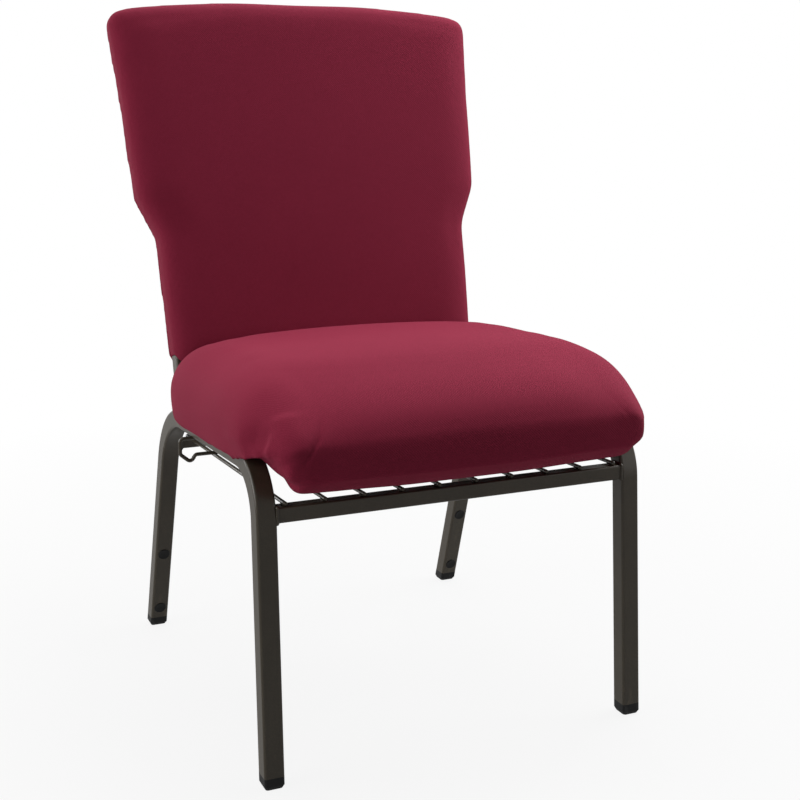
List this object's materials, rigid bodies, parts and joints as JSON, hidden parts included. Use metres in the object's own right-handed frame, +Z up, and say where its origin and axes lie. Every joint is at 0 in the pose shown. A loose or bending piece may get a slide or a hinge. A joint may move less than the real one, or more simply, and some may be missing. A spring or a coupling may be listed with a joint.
{
  "type": "church chair",
  "caption": "Stacking church chair with a bent square-tube frame, thick waterfall seat, winged padded back and a wire book rack under the seat.",
  "frame": {"origin": "centre of the bounding box on the floor plane under the glides", "axes": "+Z up, -Y towards the front edge of the seat, +X to the right of a viewer who faces the front of the chair"},
  "size_m": [0.5698, 0.6722, 0.9391],
  "materials": {
    "frame_metal": "dark bronze vein powder coat, semi gloss",
    "cover_fabric": "maroon plain-weave upholstery over foam",
    "plywood": "bare plywood",
    "dust_fabric": "black nonwoven dust cover",
    "black_plastic": "black moulded plastic",
    "fastener": "zinc plated"
  },
  "bodies": {
    "root": {"back_board": "plywood", "back_cushion": "cover_fabric", "back_outer_panel": "cover_fabric", "back_screws": "fastener", "back_tee_nuts": "fastener", "front_cross_rail": "frame_metal", "front_left_glide": "black_plastic", "front_right_glide": "black_plastic", "ganging_wire": "frame_metal", "left_back_upright": "frame_metal", "left_lower_leg_plug": "black_plastic", "left_side_frame": "frame_metal", "left_upper_leg_plug": "black_plastic", "left_upright_end_cap": "black_plastic", "rack_wire_01": "frame_metal", "rack_wire_02": "frame_metal", "rack_wire_03": "frame_metal", "rack_wire_04": "frame_metal", "rack_wire_05": "frame_metal", "rack_wire_06": "frame_metal", "rack_wire_07": "frame_metal", "rack_wire_08": "frame_metal", "rack_wire_09": "frame_metal", "rack_wire_10": "frame_metal", "rear_cross_rail": "frame_metal", "rear_left_glide": "black_plastic", "rear_right_glide": "black_plastic", "right_back_upright": "frame_metal", "right_lower_leg_plug": "black_plastic", "right_side_frame": "frame_metal", "right_upper_leg_plug": "black_plastic", "right_upright_end_cap": "black_plastic", "seat_board": "plywood", "seat_cushion": "cover_fabric", "seat_dust_cover": "dust_fabric", "seat_screws": "fastener", "seat_tee_nuts": "fastener"}
  },
  "joints": []
}
